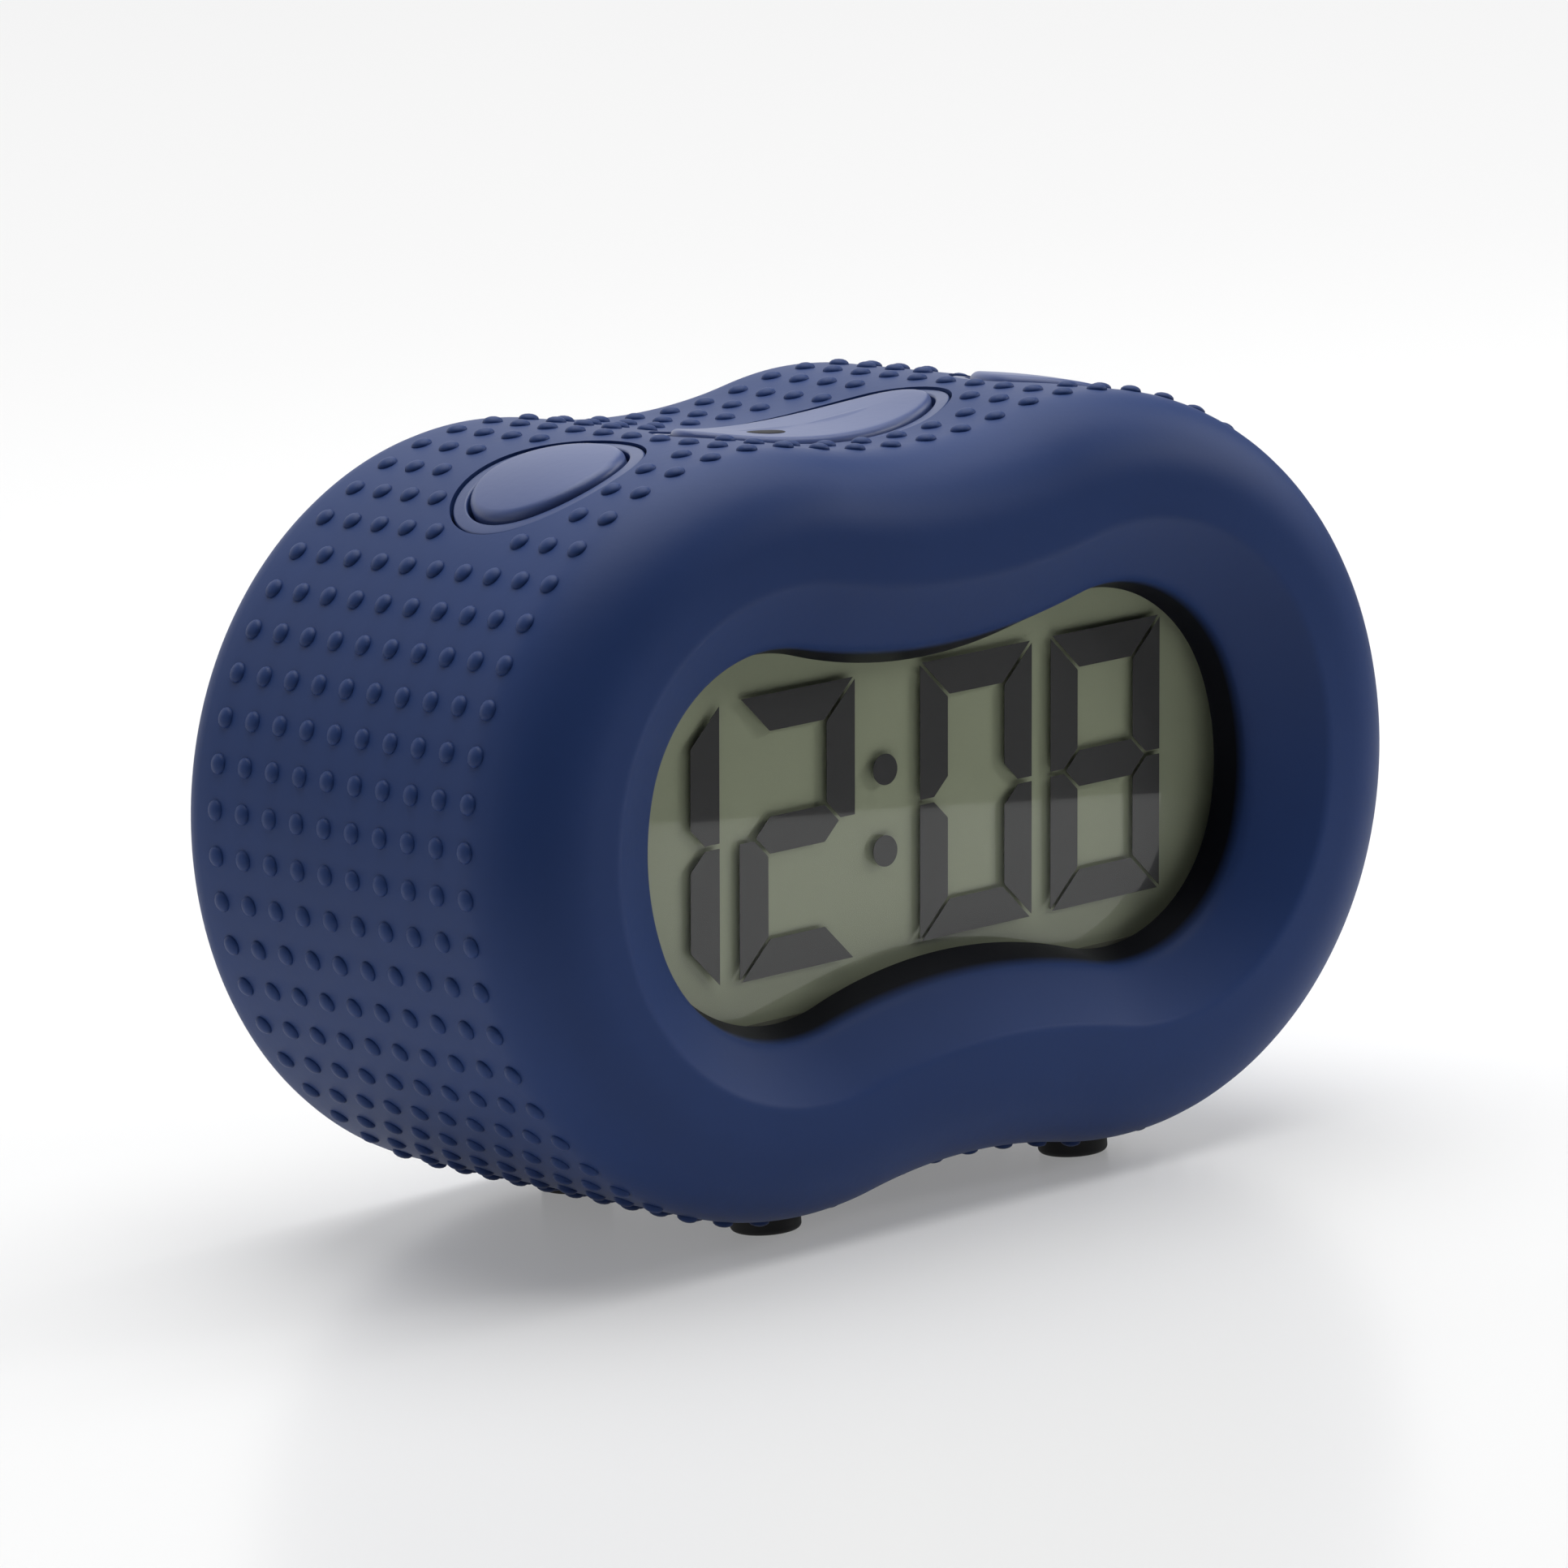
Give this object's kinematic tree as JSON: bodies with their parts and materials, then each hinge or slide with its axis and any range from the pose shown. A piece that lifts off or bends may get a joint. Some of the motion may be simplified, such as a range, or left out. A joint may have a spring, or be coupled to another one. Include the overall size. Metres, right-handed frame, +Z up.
{
  "type": "digital alarm clock",
  "caption": "Standing digital alarm clock with a waisted soft sleeve, a dished window over the display and three keys on top.",
  "frame": {"origin": "centre of the bounding box at the surface that the clock stands on", "axes": "+Z up, -Y towards the reader, +X to the reader's right"},
  "size_m": [0.115, 0.0546, 0.0775],
  "materials": {
    "sleeve_rubber": "satin, dark blue",
    "case_plastic": "satin, dark blue",
    "cover_plastic": "fine matt grain, dark blue",
    "clear_window": "clear and polished",
    "display_glass": "clear and polished",
    "display_ink": "dark grey",
    "display_seal": "matt",
    "reflector": "matt, grey green",
    "black_plastic": "matt black",
    "strip_rubber": "matt grey",
    "board_green": "lacquered green",
    "bright_steel": "bright plate",
    "screw_steel": "zinc plate",
    "dark_window": "dark and polished",
    "rear_key_plastic": "satin, dark blue",
    "key_plastic": "satin, slate blue",
    "collar_plastic": "satin, dark blue",
    "battery_label": "gloss grey wrap",
    "foot_rubber": "matt black"
  },
  "bodies": {
    "clock": {"alarm_switch": "black_plastic", "backlight_panel": "reflector", "battery_contact_left": "bright_steel", "battery_contact_right": "bright_steel", "battery_lower": "battery_label", "battery_upper": "battery_label", "board_screws": "screw_steel", "buzzer": "black_plastic", "case_screws": "screw_steel", "chip_blob": "black_plastic", "crystal": "bright_steel", "display_lens": "clear_window", "foot_front_left": "foot_rubber", "foot_front_right": "foot_rubber", "foot_rear_left": "foot_rubber", "foot_rear_right": "foot_rubber", "front_housing": "case_plastic", "key_board_centre": "board_green", "key_board_left": "board_green", "key_board_right": "board_green", "key_collar_centre": "collar_plastic", "key_collar_left": "collar_plastic", "key_collar_right": "collar_plastic", "key_switch_centre": "black_plastic", "key_switch_left": "black_plastic", "key_switch_right": "black_plastic", "lcd_frame": "black_plastic", "lcd_front_glass": "display_glass", "lcd_rear_glass": "display_glass", "lcd_seal": "display_seal", "lcd_segments": "display_ink", "main_board": "board_green", "rear_board": "board_green", "rear_cover": "cover_plastic", "set_switch_left": "black_plastic", "set_switch_middle": "black_plastic", "set_switch_right": "black_plastic", "silicone_sleeve": "sleeve_rubber", "zebra_strip_lower": "strip_rubber", "zebra_strip_upper": "strip_rubber"},
    "key_left": {"key_left": "key_plastic"},
    "key_centre": {"key_centre": "key_plastic", "sensor_window": "dark_window"},
    "key_right": {"key_right": "key_plastic"},
    "set_key_left": {"set_key_left": "rear_key_plastic"},
    "set_key_middle": {"set_key_middle": "rear_key_plastic"},
    "set_key_right": {"set_key_right": "rear_key_plastic"},
    "alarm_knob": {"alarm_knob": "rear_key_plastic"},
    "battery_door": {"battery_door": "cover_plastic"}
  },
  "joints": [
    {"name": "key_left_press", "type": "slide", "parent": "clock", "child": "key_left", "axis": [0.3167, 0, -0.9485], "range_m": [0, 0.0009], "stiffness_N_per_m": 1500, "springref_m": -0.0004},
    {"name": "key_centre_press", "type": "slide", "parent": "clock", "child": "key_centre", "axis": [0, 0, -1], "range_m": [0, 0.0009], "stiffness_N_per_m": 1500, "springref_m": -0.0004},
    {"name": "key_right_press", "type": "slide", "parent": "clock", "child": "key_right", "axis": [-0.3167, 0, -0.9485], "range_m": [0, 0.0009], "stiffness_N_per_m": 1500, "springref_m": -0.0004},
    {"name": "set_key_left_press", "type": "slide", "parent": "clock", "child": "set_key_left", "axis": [0, -1, 0], "range_m": [0, 0.0006], "stiffness_N_per_m": 1500, "springref_m": -0.0004},
    {"name": "set_key_middle_press", "type": "slide", "parent": "clock", "child": "set_key_middle", "axis": [0, -1, 0], "range_m": [0, 0.0006], "stiffness_N_per_m": 1500, "springref_m": -0.0004},
    {"name": "set_key_right_press", "type": "slide", "parent": "clock", "child": "set_key_right", "axis": [0, -1, 0], "range_m": [0, 0.0006], "stiffness_N_per_m": 1500, "springref_m": -0.0004},
    {"name": "alarm_slide", "type": "slide", "parent": "clock", "child": "alarm_knob", "axis": [1, 0, 0], "range_m": [0, 0.005]},
    {"name": "battery_door_off", "type": "slide", "parent": "clock", "child": "battery_door", "axis": [0, 1, 0], "range_m": [0, 0.03]}
  ]
}
